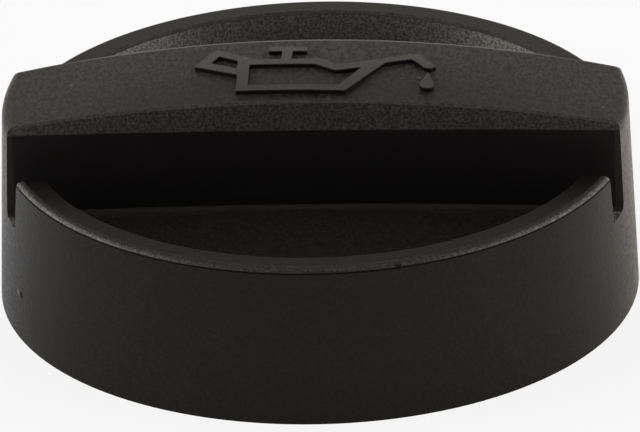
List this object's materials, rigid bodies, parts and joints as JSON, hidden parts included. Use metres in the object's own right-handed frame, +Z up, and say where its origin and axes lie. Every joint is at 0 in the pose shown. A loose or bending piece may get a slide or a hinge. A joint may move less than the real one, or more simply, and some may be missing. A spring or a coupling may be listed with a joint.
{
  "type": "oil filler cap",
  "caption": "Round black moulded cap with a crowned grip bar across a recessed top, a plain drafted skirt, drain slots in the rim, and a bayonet plug with a rubber seal ring beneath.",
  "frame": {"origin": "centre of the skirt's base, which the cap stands on", "axes": "+Z up along the cap's axis, X along the grip bar"},
  "size_m": [0.06, 0.06, 0.022],
  "materials": {
    "black_nylon": "spark-eroded grain",
    "seal_rubber": "moulded"
  },
  "bodies": {
    "root": {"cap_body": "black_nylon", "seal_ring": "seal_rubber"}
  },
  "joints": []
}
